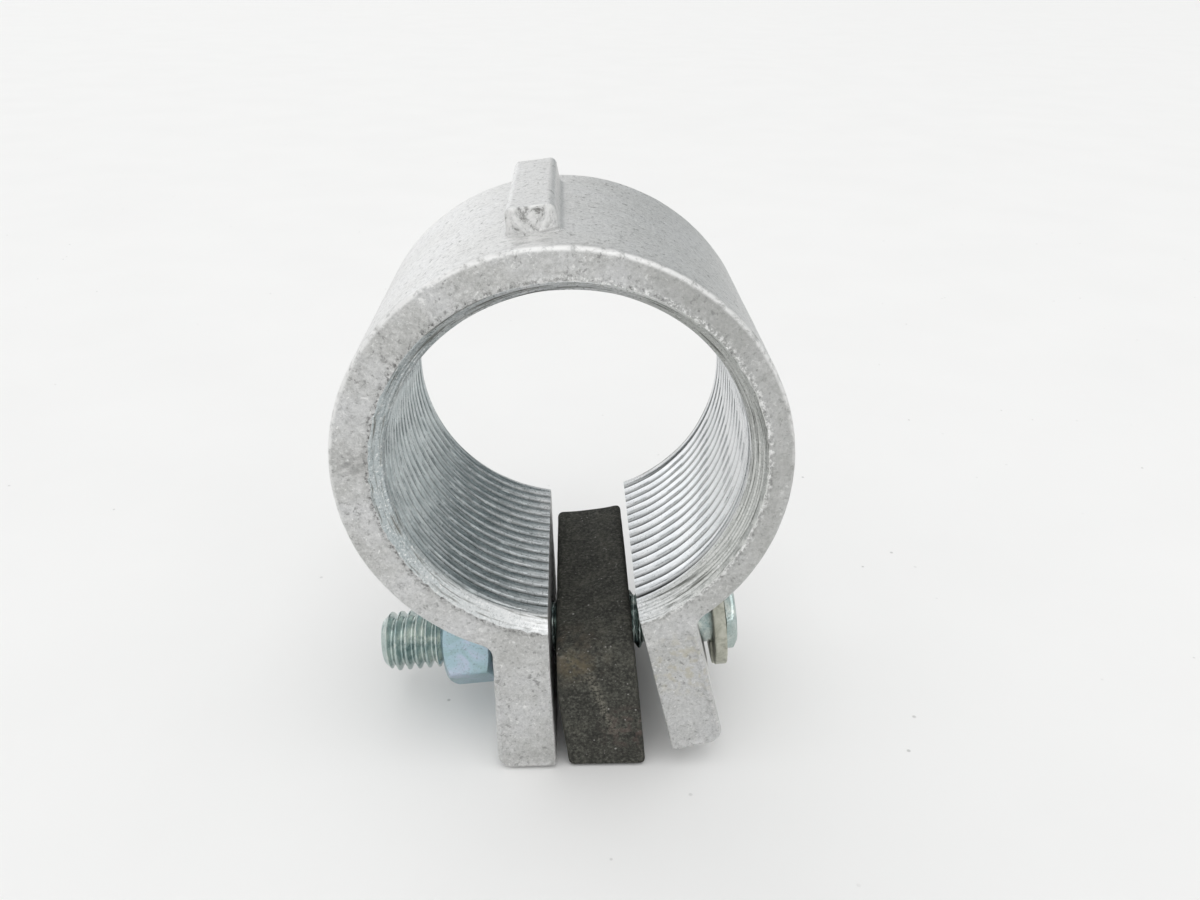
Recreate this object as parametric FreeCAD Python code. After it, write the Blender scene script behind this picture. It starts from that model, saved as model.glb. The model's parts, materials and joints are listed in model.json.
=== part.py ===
"""Split coupling for threaded pipe or conduit.

A one-piece cast ring, slit along its length, carries two ears below the slit.
One clamp bolt with a nut and a split lock washer draws the ears together, and a
rubber pad hangs on the bolt and fills the slit.

Frame: millimetres, bore axis along Y with the front end at -Y, bolt nearly along X
with its head at +X, Z up. The origin is on the bore axis at mid-length. The bolt
leans in its oversize holes, head end down, and its nut and washer lean with it.
"""

import FreeCAD, Part
import math
import os

# Cast ring
LENGTH = 39.3
OUTER_RADIUS = 29.7
BORE_RADIUS = 23.45
BORE_RUNOUT = 0.8
MOUTH_RADIUS = 25.35
MOUTH_DEPTH = 3.5
RING_EDGE_ROUND = 0.9

# Slit and ears
SLIT_HALF_WIDTH = 6.55
SLIT_DATUM_Z = -26.0
EAR_SPLAY_DEG = 5.2
EAR_THICKNESS = {"head": 7.7, "nut": 8.2}
EAR_FOOT_GROWTH = {"head": 0.3, "nut": 0.7}
EAR_DROP = {"head": 23.0, "nut": 23.4}
EAR_OUTER_CORNER = 2.4
EAR_INNER_CORNER = 0.8
EAR_ROOT_HEIGHT = 6.0
EAR_ROOT_ROUND = 1.5
BOLT_HOLE_RADIUS = 5.55

# Lug on top of the ring
LUG_WIDTH = 6.5
LUG_X = -0.35
LUG_HEIGHT = 3.2
LUG_FRONT_SETBACK = 6.0
LUG_BACK_SETBACK = 4.0
LUG_CORNER = 1.1

# Clamp bolt, a 3/8-16 thread, with a low head
BOLT_RADIUS = 4.74
BOLT_LENGTH = 53.7
BOLT_Y = -2.4
BOLT_Z = -36.6
BOLT_LEAN_DEG = 1.8
BOLT_LIFT = 0.15
END_CHAMFER = 1.0
HEAD_FACE_X = 19.3
HEAD_HEIGHT = 1.8
HEAD_TURN_DEG = 12.0
HEAD_ACROSS_FLATS = 10.6
HEX_CHAMFER_ANGLE_DEG = 30.0
HEX_FACE_SHARE = 0.94

# Hex nut
NUT_FACE_X = -16.95
NUT_HEIGHT = 7.55
NUT_TURN_DEG = -20.0
NUT_ACROSS_FLATS = 14.29
NUT_BORE_RADIUS = 4.80
NUT_MOUTH_RADIUS = 5.2

# Split lock washer
WASHER_RADIUS = 8.3
WASHER_BORE_RADIUS = 4.82
WASHER_THICKNESS = 2.3
WASHER_HEAD_GAP = 0.1
WASHER_SPLIT_WIDTH = 0.9
WASHER_SPLIT_SLANT_DEG = 25.0
WASHER_SPLIT_TURN_DEG = 150.0

# Rubber pad
PAD_LENGTH = 38.4
PAD_TOP_WIDTH = 11.2
PAD_BOTTOM_WIDTH = 11.75
PAD_TOP_Z = -27.7
PAD_HEIGHT = 23.0
PAD_TOP_SHIFT = 0.3
PAD_BOTTOM_SHIFT = 1.28
PAD_SHOULDER_X = -6.85
PAD_SHOULDER_Z = -35.5
PAD_BOTTOM_SLANT = 1.6
PAD_CORNER = 0.9
PAD_TOP_HOLLOW = 0.35
PAD_HOLE_RADIUS = 4.82

# Clearance past a face when a cutter runs through it
PAST = 5.0

X_AXIS = FreeCAD.Vector(1, 0, 0)
Y_AXIS = FreeCAD.Vector(0, 1, 0)
ORIGIN = FreeCAD.Vector(0, 0, 0)
FRONT_Y = -LENGTH / 2
SPLAY_TAN = math.tan(math.radians(EAR_SPLAY_DEG))


def section_point(x, z, y=FRONT_Y):
    """A point of an outline drawn in a plane square to the bore."""
    return FreeCAD.Vector(x, y, z)


def prism(corners, length, start_y=FRONT_Y):
    """Extrude a closed polygon of (x, z) corners along Y."""
    points = [section_point(x, z, start_y) for x, z in corners]
    outline = Part.makePolygon(points + points[:1])
    return Part.Face(outline).extrude(FreeCAD.Vector(0, length, 0))


def along_y(radius, length, start_y, x=0.0):
    """A cylinder lying along the bore direction."""
    return Part.makeCylinder(radius, length, FreeCAD.Vector(x, start_y, 0), Y_AXIS)


def along_bolt(radius, start_x, end_x):
    """A cylinder on the bolt axis between two X stations."""
    foot = FreeCAD.Vector(start_x, BOLT_Y, BOLT_Z)
    return Part.makeCylinder(radius, end_x - start_x, foot, X_AXIS)


def cone_on_bolt(start_radius, end_radius, start_x, end_x):
    """A cone on the bolt axis between two X stations."""
    foot = FreeCAD.Vector(start_x, BOLT_Y, BOLT_Z)
    return Part.makeCone(start_radius, end_radius, end_x - start_x, foot, X_AXIS)


def edges_along_y(shape, test):
    """Straight edges that run along the bore and pass a test on their (x, z)."""
    found = []
    for edge in shape.Edges:
        direction = edge.Vertexes[-1].Point - edge.Vertexes[0].Point
        lies_along = abs(direction.x) + abs(direction.z) < 1e-6
        if lies_along and direction.Length > 1 and test(edge.CenterOfMass.x, edge.CenterOfMass.z):
            found.append(edge)
    return found


def slit_half_width(z):
    """Half the slit's width at a height: its walls splay out downwards."""
    return SLIT_HALF_WIDTH + (SLIT_DATUM_Z - z) * SPLAY_TAN


def ear(side):
    """One ear with its rounded foot, thicker towards the foot: the bolt "head" ear or the "nut" ear."""
    inner = SLIT_HALF_WIDTH
    outer = SLIT_HALF_WIDTH + EAR_THICKNESS[side]
    outer_low = outer + EAR_FOOT_GROWTH[side]
    top = SLIT_DATUM_Z + EAR_ROOT_HEIGHT
    foot = SLIT_DATUM_Z - EAR_DROP[side]
    corners = [(inner, top), (outer, top), (outer, SLIT_DATUM_Z), (outer_low, foot), (inner, foot)]
    plate = prism(corners, LENGTH)
    outer_foot = edges_along_y(plate, lambda x, z: x > outer - 1 and z < foot + 1)
    plate = plate.makeFillet(EAR_OUTER_CORNER, outer_foot)
    inner_foot = edges_along_y(plate, lambda x, z: x < inner + 1 and z < foot + 1)
    plate = plate.makeFillet(EAR_INNER_CORNER, inner_foot)
    pivot = FreeCAD.Vector(SLIT_HALF_WIDTH, 0, SLIT_DATUM_Z)
    plate.rotate(pivot, Y_AXIS, -EAR_SPLAY_DEG)
    if side == "nut":
        plate = plate.mirror(ORIGIN, X_AXIS)
    return plate


def lug():
    """The low rectangular lug along the top of the ring, with rounded corners."""
    depth = LENGTH - LUG_FRONT_SETBACK - LUG_BACK_SETBACK
    sunk = 2.0
    block = Part.makeBox(
        LUG_WIDTH,
        depth,
        LUG_HEIGHT + sunk,
        FreeCAD.Vector(LUG_X - LUG_WIDTH / 2, FRONT_Y + LUG_FRONT_SETBACK, OUTER_RADIUS - sunk),
    )
    rounded = [edge for edge in block.Edges if edge.CenterOfMass.z > OUTER_RADIUS - sunk]
    return block.makeFillet(LUG_CORNER, rounded)


def bore_cutter():
    """The threaded bore at its crest radius, with a countersunk mouth at each end."""
    cutter = along_y(BORE_RADIUS, LENGTH + 2 * PAST, FRONT_Y - PAST)
    flare = (MOUTH_RADIUS - BORE_RADIUS) / MOUTH_DEPTH
    wide = MOUTH_RADIUS + flare * PAST
    reach = MOUTH_DEPTH + PAST
    for end in (-1, 1):
        foot = FreeCAD.Vector(0, end * (LENGTH / 2 + PAST), 0)
        inward = FreeCAD.Vector(0, -end, 0)
        cutter = cutter.fuse(Part.makeCone(wide, BORE_RADIUS, reach, foot, inward))
    return cutter


def end_rim_edges(shape):
    """The outer circle arcs where the ring's surface meets its two end faces."""
    found = []
    for edge in shape.Edges:
        at_end = abs(abs(edge.CenterOfMass.y) - LENGTH / 2) < 1e-6
        if at_end and hasattr(edge.Curve, "Radius") and abs(edge.Curve.Radius - OUTER_RADIUS) < 1e-6:
            found.append(edge)
    return found


def slit_cutter():
    """The wedge between the ears, from inside the bore to below their feet."""
    top = -BORE_RADIUS / 2
    bottom = SLIT_DATUM_Z - max(EAR_DROP.values()) - PAST
    corners = [
        (-slit_half_width(top), top),
        (slit_half_width(top), top),
        (slit_half_width(bottom), bottom),
        (-slit_half_width(bottom), bottom),
    ]
    return prism(corners, LENGTH + 2 * PAST, FRONT_Y - PAST)


def at_ear_root(x, z):
    """Is (x, z) on the line where an ear's outer face meets the ring?"""
    return SLIT_HALF_WIDTH + 1 < abs(x) and z > SLIT_DATUM_Z - EAR_ROOT_HEIGHT


def coupling_body():
    """The one-piece casting: ring, ears, lug, bore, slit and bolt holes."""
    ring = along_y(OUTER_RADIUS, LENGTH, FRONT_Y, -BORE_RUNOUT)
    casting = ring.fuse([ear("head"), ear("nut")]).removeSplitter()
    casting = casting.makeFillet(EAR_ROOT_ROUND, edges_along_y(casting, at_ear_root))
    casting = casting.makeFillet(RING_EDGE_ROUND, end_rim_edges(casting))
    casting = casting.fuse(lug()).cut(slit_cutter())
    casting = casting.cut(bore_cutter())
    reach = OUTER_RADIUS + PAST
    return casting.cut(along_bolt(BOLT_HOLE_RADIUS, -reach, reach)).removeSplitter()


def leaning(shape):
    """A shape drawn on the straight bolt axis, moved onto the axis as the bolt leans."""
    shape.rotate(FreeCAD.Vector(0, BOLT_Y, BOLT_Z), Y_AXIS, BOLT_LEAN_DEG)
    shape.translate(FreeCAD.Vector(0, 0, BOLT_LIFT))
    return shape


def hexagon(across_flats, start_x, end_x, turn_deg):
    """A hexagonal bar on the bolt axis, one corner at the turn angle from +Z."""
    corner_radius = across_flats / math.sqrt(3)
    points = []
    for step in range(7):
        angle = math.radians(turn_deg + 60 * step)
        y = BOLT_Y - corner_radius * math.sin(angle)
        z = BOLT_Z + corner_radius * math.cos(angle)
        points.append(FreeCAD.Vector(start_x, y, z))
    outline = Part.makePolygon(points)
    return Part.Face(outline).extrude(FreeCAD.Vector(end_x - start_x, 0, 0))


def corner_cone(across_flats, face_x, inward):
    """The cone that chamfers a hexagon's corners at one face; inward is +1 or -1 along X."""
    face_radius = across_flats / 2 * HEX_FACE_SHARE
    reach = 30.0
    rise = reach / math.tan(math.radians(HEX_CHAMFER_ANGLE_DEG))
    foot = FreeCAD.Vector(face_x, BOLT_Y, BOLT_Z)
    return Part.makeCone(face_radius, face_radius + rise, reach, foot, X_AXIS * inward)


def clamp_bolt():
    """Bolt with a low hexagon head at +X; the shank stands at the thread's crest radius."""
    end_x = HEAD_FACE_X - BOLT_LENGTH
    shank = along_bolt(BOLT_RADIUS, end_x + END_CHAMFER, HEAD_FACE_X)
    tip = cone_on_bolt(BOLT_RADIUS - END_CHAMFER, BOLT_RADIUS, end_x, end_x + END_CHAMFER)
    head_top = HEAD_FACE_X + HEAD_HEIGHT
    head = hexagon(HEAD_ACROSS_FLATS, HEAD_FACE_X, head_top, HEAD_TURN_DEG)
    head = head.common(corner_cone(HEAD_ACROSS_FLATS, head_top, -1))
    return leaning(shank.fuse([tip, head]).removeSplitter())


def hex_nut():
    """Hexagon nut, chamfered both sides, with a countersunk bore."""
    outer_x = NUT_FACE_X - NUT_HEIGHT
    nut = hexagon(NUT_ACROSS_FLATS, outer_x, NUT_FACE_X, NUT_TURN_DEG)
    nut = nut.common(corner_cone(NUT_ACROSS_FLATS, outer_x, 1))
    nut = nut.common(corner_cone(NUT_ACROSS_FLATS, NUT_FACE_X, -1))
    nut = nut.cut(along_bolt(NUT_BORE_RADIUS, outer_x - PAST, NUT_FACE_X + PAST))
    sink = NUT_MOUTH_RADIUS - NUT_BORE_RADIUS
    nut = nut.cut(cone_on_bolt(NUT_MOUTH_RADIUS, NUT_BORE_RADIUS, outer_x, outer_x + sink))
    nut = nut.cut(cone_on_bolt(NUT_BORE_RADIUS, NUT_MOUTH_RADIUS, NUT_FACE_X - sink, NUT_FACE_X))
    return leaning(nut)


def lock_washer():
    """Split spring washer with a slanted gap."""
    outer_x = HEAD_FACE_X - WASHER_HEAD_GAP
    inner_x = outer_x - WASHER_THICKNESS
    ring = along_bolt(WASHER_RADIUS, inner_x, outer_x)
    ring = ring.cut(along_bolt(WASHER_BORE_RADIUS, inner_x - PAST, outer_x + PAST))
    middle = FreeCAD.Vector((inner_x + outer_x) / 2, BOLT_Y, BOLT_Z)
    split = Part.makeBox(
        4 * WASHER_THICKNESS,
        WASHER_SPLIT_WIDTH,
        WASHER_RADIUS + PAST,
        middle - FreeCAD.Vector(2 * WASHER_THICKNESS, WASHER_SPLIT_WIDTH / 2, 0),
    )
    split.rotate(middle, FreeCAD.Vector(0, 0, 1), WASHER_SPLIT_SLANT_DEG)
    split.rotate(middle, X_AXIS, WASHER_SPLIT_TURN_DEG)
    return leaning(ring.cut(split))


def at_pad_corner(x, z):
    """Is (x, z) on one of the pad's four rounded corners, not on its shoulder?"""
    return abs(z - PAD_SHOULDER_Z) > PAD_CORNER


def gap_pad():
    """Rubber block in the slit, swollen on its nut side, with the bolt's hole in it."""
    start_y = -PAD_LENGTH / 2
    half_top = PAD_TOP_WIDTH / 2
    half_bottom = PAD_BOTTOM_WIDTH / 2
    bottom_z = PAD_TOP_Z - PAD_HEIGHT
    corners = [
        (-half_top - PAD_TOP_SHIFT, PAD_TOP_Z),
        (PAD_SHOULDER_X, PAD_SHOULDER_Z),
        (-half_bottom - PAD_BOTTOM_SHIFT, bottom_z + PAD_BOTTOM_SLANT / 2),
        (half_bottom - PAD_BOTTOM_SHIFT, bottom_z - PAD_BOTTOM_SLANT / 2),
        (half_top - PAD_TOP_SHIFT, PAD_TOP_Z),
    ]
    points = [section_point(x, z, start_y) for x, z in corners]
    left, shoulder, foot_left, foot_right, right = points
    hollow = section_point(-PAD_TOP_SHIFT, PAD_TOP_Z - PAD_TOP_HOLLOW, start_y)
    outline = Part.Wire([
        Part.makeLine(left, shoulder),
        Part.makeLine(shoulder, foot_left),
        Part.makeLine(foot_left, foot_right),
        Part.makeLine(foot_right, right),
        Part.Arc(right, hollow, left).toShape(),
    ])
    block = Part.Face(outline).extrude(FreeCAD.Vector(0, PAD_LENGTH, 0))
    block = block.makeFillet(PAD_CORNER, edges_along_y(block, at_pad_corner))
    return block.cut(leaning(along_bolt(PAD_HOLE_RADIUS, -OUTER_RADIUS, OUTER_RADIUS)))


PARTS = {
    "coupling_body": coupling_body,
    "clamp_bolt": clamp_bolt,
    "hex_nut": hex_nut,
    "lock_washer": lock_washer,
    "gap_pad": gap_pad,
}

os.makedirs("parts", exist_ok=True)
for name, make in PARTS.items():
    shape = make()
    if shape.ShapeType == "Compound" and len(shape.Solids) == 1:
        shape = shape.Solids[0]
    shape.exportStep("parts/" + name + ".step")
    box = shape.BoundBox
    print(
        name,
        "valid" if shape.isValid() else "INVALID",
        "solids", len(shape.Solids),
        "x %.2f..%.2f y %.2f..%.2f z %.2f..%.2f" % (box.XMin, box.XMax, box.YMin, box.YMax, box.ZMin, box.ZMax),
        "volume %.0f" % shape.Volume,
    )
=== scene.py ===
"""Split coupling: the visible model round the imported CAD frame.

Shapes are worked out in millimetres and turned to metres when a mesh is made.
The bore lies along Y with the front end at -Y, the clamp bolt nearly along X, Z is up.
"""

import json
import math

import bmesh
import bpy
import numpy as np
from mathutils import Matrix, Vector
from mathutils.geometry import delaunay_2d_cdt


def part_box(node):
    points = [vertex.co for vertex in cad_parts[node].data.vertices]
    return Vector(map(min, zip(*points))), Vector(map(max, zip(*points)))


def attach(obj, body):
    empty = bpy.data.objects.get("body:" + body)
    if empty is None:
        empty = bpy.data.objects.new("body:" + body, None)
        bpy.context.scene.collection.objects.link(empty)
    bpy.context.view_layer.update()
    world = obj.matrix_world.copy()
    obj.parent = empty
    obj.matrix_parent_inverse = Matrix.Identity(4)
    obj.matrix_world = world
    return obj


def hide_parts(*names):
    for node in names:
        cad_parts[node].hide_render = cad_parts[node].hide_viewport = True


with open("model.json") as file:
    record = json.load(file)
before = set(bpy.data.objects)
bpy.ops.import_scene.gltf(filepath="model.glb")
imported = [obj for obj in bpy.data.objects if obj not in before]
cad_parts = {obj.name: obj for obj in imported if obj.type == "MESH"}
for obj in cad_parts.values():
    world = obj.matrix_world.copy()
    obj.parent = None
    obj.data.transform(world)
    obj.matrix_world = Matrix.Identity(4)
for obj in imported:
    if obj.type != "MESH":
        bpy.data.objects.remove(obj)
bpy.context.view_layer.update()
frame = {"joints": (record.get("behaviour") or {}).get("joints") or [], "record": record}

MM = 0.001
TURN = 2 * math.pi
RNG = np.random.default_rng(20)

# ---------------------------------------------------------------- facts from the frame


def box_mm(node):
    """Lowest and highest corner of a CAD node, in millimetres."""
    return [np.array(corner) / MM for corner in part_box(node)]


BODY_LOW, BODY_HIGH = box_mm("coupling_body")
PAD_LOW, PAD_HIGH = box_mm("gap_pad")
MOUNTS = {mount["name"]: mount for mount in frame["record"]["mounts"]}
JOINTS = {joint["name"]: joint for joint in frame["joints"]}

FRONT_Y = BODY_LOW[1]
BACK_Y = BODY_HIGH[1]
BORE_RADIUS = MOUNTS["pipe_bore"]["dims"]["r_mm"]
BOLT_POINT = Vector(value / MM for value in JOINTS["bolt_turn"]["pos_m"])
BOLT_AXIS = Vector(JOINTS["bolt_turn"]["axis"]).normalized()

# ---------------------------------------------------------------- casting sizes, mm

OUTER_RADIUS = 29.66
RING_X = -0.8
PIPE_PITCH = 25.4 / 11.5
PIPE_GROOVE_DEPTH = 0.74
PIPE_GROOVE_HALF_WIDTH = 0.46
PIPE_ROOT_HALF_WIDTH = 0.05
MOUTH_RADIUS = 25.35
MOUTH_MEAN_DEPTH = 2.3
MOUTH_DEPTH_SWING = 1.0
MOUTH_DEEPEST_AT = math.radians(75)
SLIT_HALF_WIDTH = 6.57
SLIT_DATUM_Z = -26.0
SPLAY = math.radians(5.2)
EAR_THICKNESS = {"head": 7.65, "nut": 8.15}
EAR_FOOT_GROWTH = {"head": 0.3, "nut": 0.7}
EAR_DROP = {"head": 22.97, "nut": 23.37}
EAR_OUTER_CORNER = 2.4
EAR_INNER_CORNER = 0.8
EAR_ROOT_REACH = 1.6
BOLT_HOLE_RADIUS = 5.55
BOLT_HOLE_Z = -36.6
LUG_X = -0.35
LUG_HALF_WIDTH = 3.24
LUG_TOP_Z = BODY_HIGH[2] - 0.02
LUG_FRONT_SETBACK = 6.0
LUG_BACK_SETBACK = 4.0
LUG_CORNER = 1.0
LUG_PLAN_CORNER = 1.2
RIM_EDGE_ROUND = 0.72
FOOT_EDGE_ROUND = 0.45
BORE_EDGE_ROUND = 0.06
FOOT_RAMP_POINTS = 14
DENTS = ((1.24, 0.022, 0.5), (-0.62, 0.03, 0.22), (0.30, 0.018, 0.2))
FLOW_PATCHES = ((-9.6, -29.8, 2.3), (-8.3, -33.4, 1.6), (6.6, -29.6, 2.7))

# ---------------------------------------------------------------- fastener and pad sizes, mm

BOLT_START = -34.36
BOLT_CREST_RADIUS = 4.66
BOLT_SHANK_RADIUS = 4.6
BOLT_PITCH = 25.4 / 16
BOLT_THREAD_DEPTH = 0.93
BOLT_THREAD_END = 13.5
HEAD_FACE = 19.32
HEAD_TOP = 21.08
HEAD_ACROSS_FLATS = 10.56
HEAD_TURN = math.radians(12)
HEX_FACE_SHARE = 0.94
HEX_CHAMFER = math.radians(30)
NUT_OUTER = -24.48
NUT_INNER = -16.97
NUT_ACROSS_FLATS = 14.25
NUT_TURN = math.radians(-20)
NUT_BORE_RADIUS = 4.78
WASHER_INNER = 16.92
WASHER_OUTER = 19.18
WASHER_RADIUS = 8.25
WASHER_BORE_RADIUS = 4.86
WASHER_SPRING = 0.14
WASHER_SPLIT_ANGLE = math.radians(150)
WASHER_SPLIT_HALF = 0.055
PAD_HOLE_RADIUS = 4.84
PAD_CORNER = 1.25


# ---------------------------------------------------------------- small helpers

def new_object(name, points_mm, faces, material_list, face_materials=None):
    """A smooth mesh object from points in millimetres, linked to the scene."""
    mesh = bpy.data.meshes.new(name)
    mesh.from_pydata((np.asarray(points_mm) * MM).tolist(), [], faces)
    for material in material_list:
        mesh.materials.append(material)
    if face_materials is not None:
        mesh.polygons.foreach_set("material_index", face_materials)
    mesh.polygons.foreach_set("use_smooth", [True] * len(mesh.polygons))
    mesh.update()
    piece = bpy.data.objects.new(name, mesh)
    bpy.context.scene.collection.objects.link(piece)
    return piece


def grid_faces(rows, columns, flip=False):
    """Quads of a grid of points stored row by row, each row closed on itself."""
    faces = []
    for row in range(rows - 1):
        below = row * columns
        above = below + columns
        for column in range(columns):
            right = (column + 1) % columns
            quad = (below + column, below + right, above + right, above + column)
            faces.append(quad[::-1] if flip else quad)
    return faces


def value_noise(points, cell, seed):
    """Smooth noise between -1 and 1 at points (N, 3), with one lattice cell every `cell` mm."""
    grid = np.asarray(points, float) / cell + 1000.0
    low = np.floor(grid).astype(np.int64)
    part = grid - low
    part = part * part * (3 - 2 * part)
    total = np.zeros(len(grid))
    for corner in range(8):
        step = np.array([corner & 1, corner >> 1 & 1, corner >> 2 & 1])
        key = (low + step) @ np.array([73856093, 19349663, 83492791]) + seed * 7919
        key = ((key ^ key >> 13) * 1274126177) & 0x7FFFFFFF
        key = key ^ key >> 16
        share = np.prod(np.where(step == 1, part, 1 - part), axis=1)
        total += share * ((key % 65521) / 32760.5 - 1)
    return total


def smoothstep(low, high, value):
    """0 below low, 1 above high, and a smooth ramp between."""
    t = np.clip((np.asarray(value, float) - low) / (high - low), 0, 1)
    return t * t * (3 - 2 * t)


def round_inset(distance, radius):
    """How far a rounded edge draws a surface in, at a distance from the end face."""
    inside = np.clip(1 - np.asarray(distance, float) / np.maximum(radius, 1e-6), 0, 1)
    return radius * (1 - np.sqrt(1 - inside**2))


def outward(points):
    """Outward normals of closed outlines (..., N, 2) that run anticlockwise round the material."""
    ahead = np.roll(points, -1, axis=-2) - np.roll(points, 1, axis=-2)
    normal = np.stack([ahead[..., 1], -ahead[..., 0]], axis=-1)
    return normal / np.maximum(np.linalg.norm(normal, axis=-1, keepdims=True), 1e-9)


def arc(centre, radius, start_deg, end_deg, count):
    """Points of an arc between two angles, ends included."""
    angle = np.radians(np.linspace(start_deg, end_deg, count))
    return np.stack([centre[0] + radius * np.cos(angle), centre[1] + radius * np.sin(angle)], axis=1)


def bend(start, corner, end, count):
    """Points of a rounded corner from start to end, both included."""
    t = np.linspace(0, 1, count)[:, None]
    return start * (1 - t)**2 + corner * 2 * t * (1 - t) + end * t**2


def line(start, end, count):
    """Points evenly spaced between start and end, without either."""
    t = np.linspace(0, 1, count + 2)[1:-1, None]
    return np.asarray(start) * (1 - t) + np.asarray(end) * t


def end_stations(length, fine_steps, middle_step):
    """Stations from 0 to length, close together near both ends."""
    last = length - fine_steps[-1]
    middle = np.arange(fine_steps[-1] + middle_step, last - middle_step / 2, middle_step)
    return np.concatenate([fine_steps, middle, length - np.asarray(fine_steps)[::-1]])


def at_stations(outlines, y):
    """Outlines (rows, columns, 2) in X and Z, one row for each Y, as a list of points in space."""
    depth = np.repeat(y[:, None, None], outlines.shape[1], axis=1)
    return np.concatenate([outlines[..., :1], depth, outlines[..., 1:]], axis=-1).reshape(-1, 3)


def cap(loop, level, spacing, first_index, loop_index, facing, drop):
    """Fill a closed outline with a fine net. drop(points) is how far the net lies below the level.

    Returns the new points and the faces; facing is -1 for the front end and 1 for the back.
    """
    low, high = loop.min(0), loop.max(0)
    columns = np.arange(low[0] + spacing / 2, high[0], spacing)
    rows = np.arange(low[1] + spacing / 2, high[1], spacing)
    inner = np.stack(np.meshgrid(columns, rows, indexing="ij"), axis=-1).reshape(-1, 2)
    inner = inner + RNG.uniform(-0.22, 0.22, inner.shape) * spacing
    nearest = np.full(len(inner), 1e9)
    for begin in range(0, len(loop), 32):
        gap = np.linalg.norm(inner[:, None] - loop[None, begin:begin + 32], axis=2)
        nearest = np.minimum(nearest, gap.min(1))
    clear = nearest > spacing * 0.5
    inner, nearest = inner[clear], nearest[clear]
    count = len(loop)
    flat = [Vector(point) for point in np.vstack([loop, inner])]
    ring = [list(range(count))]
    made, _, triangles, origins, _, _ = delaunay_2d_cdt(flat, [], ring, 1, 1e-7)
    fall = np.zeros(count + len(inner))
    fall[count:] = drop(inner) * smoothstep(0, 0.5, nearest)
    place = {}
    extra = []
    for index, sources in enumerate(origins):
        source = min(sources)
        if source < count:
            place[index] = loop_index + source
        else:
            place[index] = first_index + len(extra)
            extra.append((made[index][0], level - facing * fall[source], made[index][1]))
    faces = []
    for a, b, c in triangles:
        pa, pb, pc = made[a], made[b], made[c]
        area = (pb[0] - pa[0]) * (pc[1] - pa[1]) - (pb[1] - pa[1]) * (pc[0] - pa[0])
        order = (a, b, c) if area * facing < 0 else (c, b, a)
        faces.append(tuple(place[k] for k in order))
    return extra, faces


def cap_ends(outlines, y, spacings, drop):
    """Nets over the first and last outline of a swept mesh: their new points, then their faces."""
    rows, columns = outlines.shape[:2]
    taken = rows * columns
    front, front_faces = cap(outlines[0], y[0], spacings[0], taken, 0, -1, drop)
    back, back_faces = cap(
        outlines[-1], y[-1], spacings[1], taken + len(front), taken - columns, 1, drop)
    return front + back, front_faces + back_faces


def drop_flaps(piece):
    """Delete slivers that a cut leaves behind: pairs of faces back to back on the same corners."""
    work = bmesh.new()
    work.from_mesh(piece.data)
    bmesh.ops.triangulate(work, faces=[face for face in work.faces if len(face.verts) > 4])
    bmesh.ops.remove_doubles(work, verts=work.verts, dist=1e-7)
    corners = {}
    for face in work.faces:
        corners.setdefault(frozenset(vert.index for vert in face.verts), []).append(face)
    flaps = [face for faces in corners.values() if len(faces) > 1 for face in faces]
    bmesh.ops.delete(work, geom=flaps, context="FACES")
    work.to_mesh(piece.data)
    work.free()


def cut_round_hole(piece, radius, centre, axis, length):
    """Cut a round hole through a piece; centre in millimetres."""
    bpy.ops.mesh.primitive_cylinder_add(vertices=96, radius=radius * MM, depth=length * MM)
    cutter = bpy.context.object
    turn = Vector((0, 0, 1)).rotation_difference(Vector(axis))
    cutter.matrix_world = Matrix.Translation(Vector(centre) * MM) @ turn.to_matrix().to_4x4()
    bpy.context.view_layer.update()
    modifier = piece.modifiers.new("hole", "BOOLEAN")
    modifier.operation = "DIFFERENCE"
    modifier.solver = "MANIFOLD"
    modifier.object = cutter
    depsgraph = bpy.context.evaluated_depsgraph_get()
    cut_mesh = bpy.data.meshes.new_from_object(piece.evaluated_get(depsgraph))
    piece.modifiers.clear()
    old = piece.data
    piece.data = cut_mesh
    bpy.data.meshes.remove(old)
    bpy.data.objects.remove(cutter)
    drop_flaps(piece)
    piece.data.name = piece.name
    piece.data.set_sharp_from_angle(angle=math.radians(40))


# ---------------------------------------------------------------- the casting

def splayed(points, side):
    """Points drawn beside an upright slit wall, turned to the splay; the nut's ear is mirrored."""
    points = np.asarray(points, float)
    x = points[:, 0] - SLIT_HALF_WIDTH
    z = points[:, 1] - SLIT_DATUM_Z
    world = np.stack([
        SLIT_HALF_WIDTH + x * math.cos(SPLAY) - z * math.sin(SPLAY),
        SLIT_DATUM_Z + x * math.sin(SPLAY) + z * math.cos(SPLAY),
    ], axis=1)
    if side == "nut":
        world[:, 0] *= -1
    return world


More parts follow.
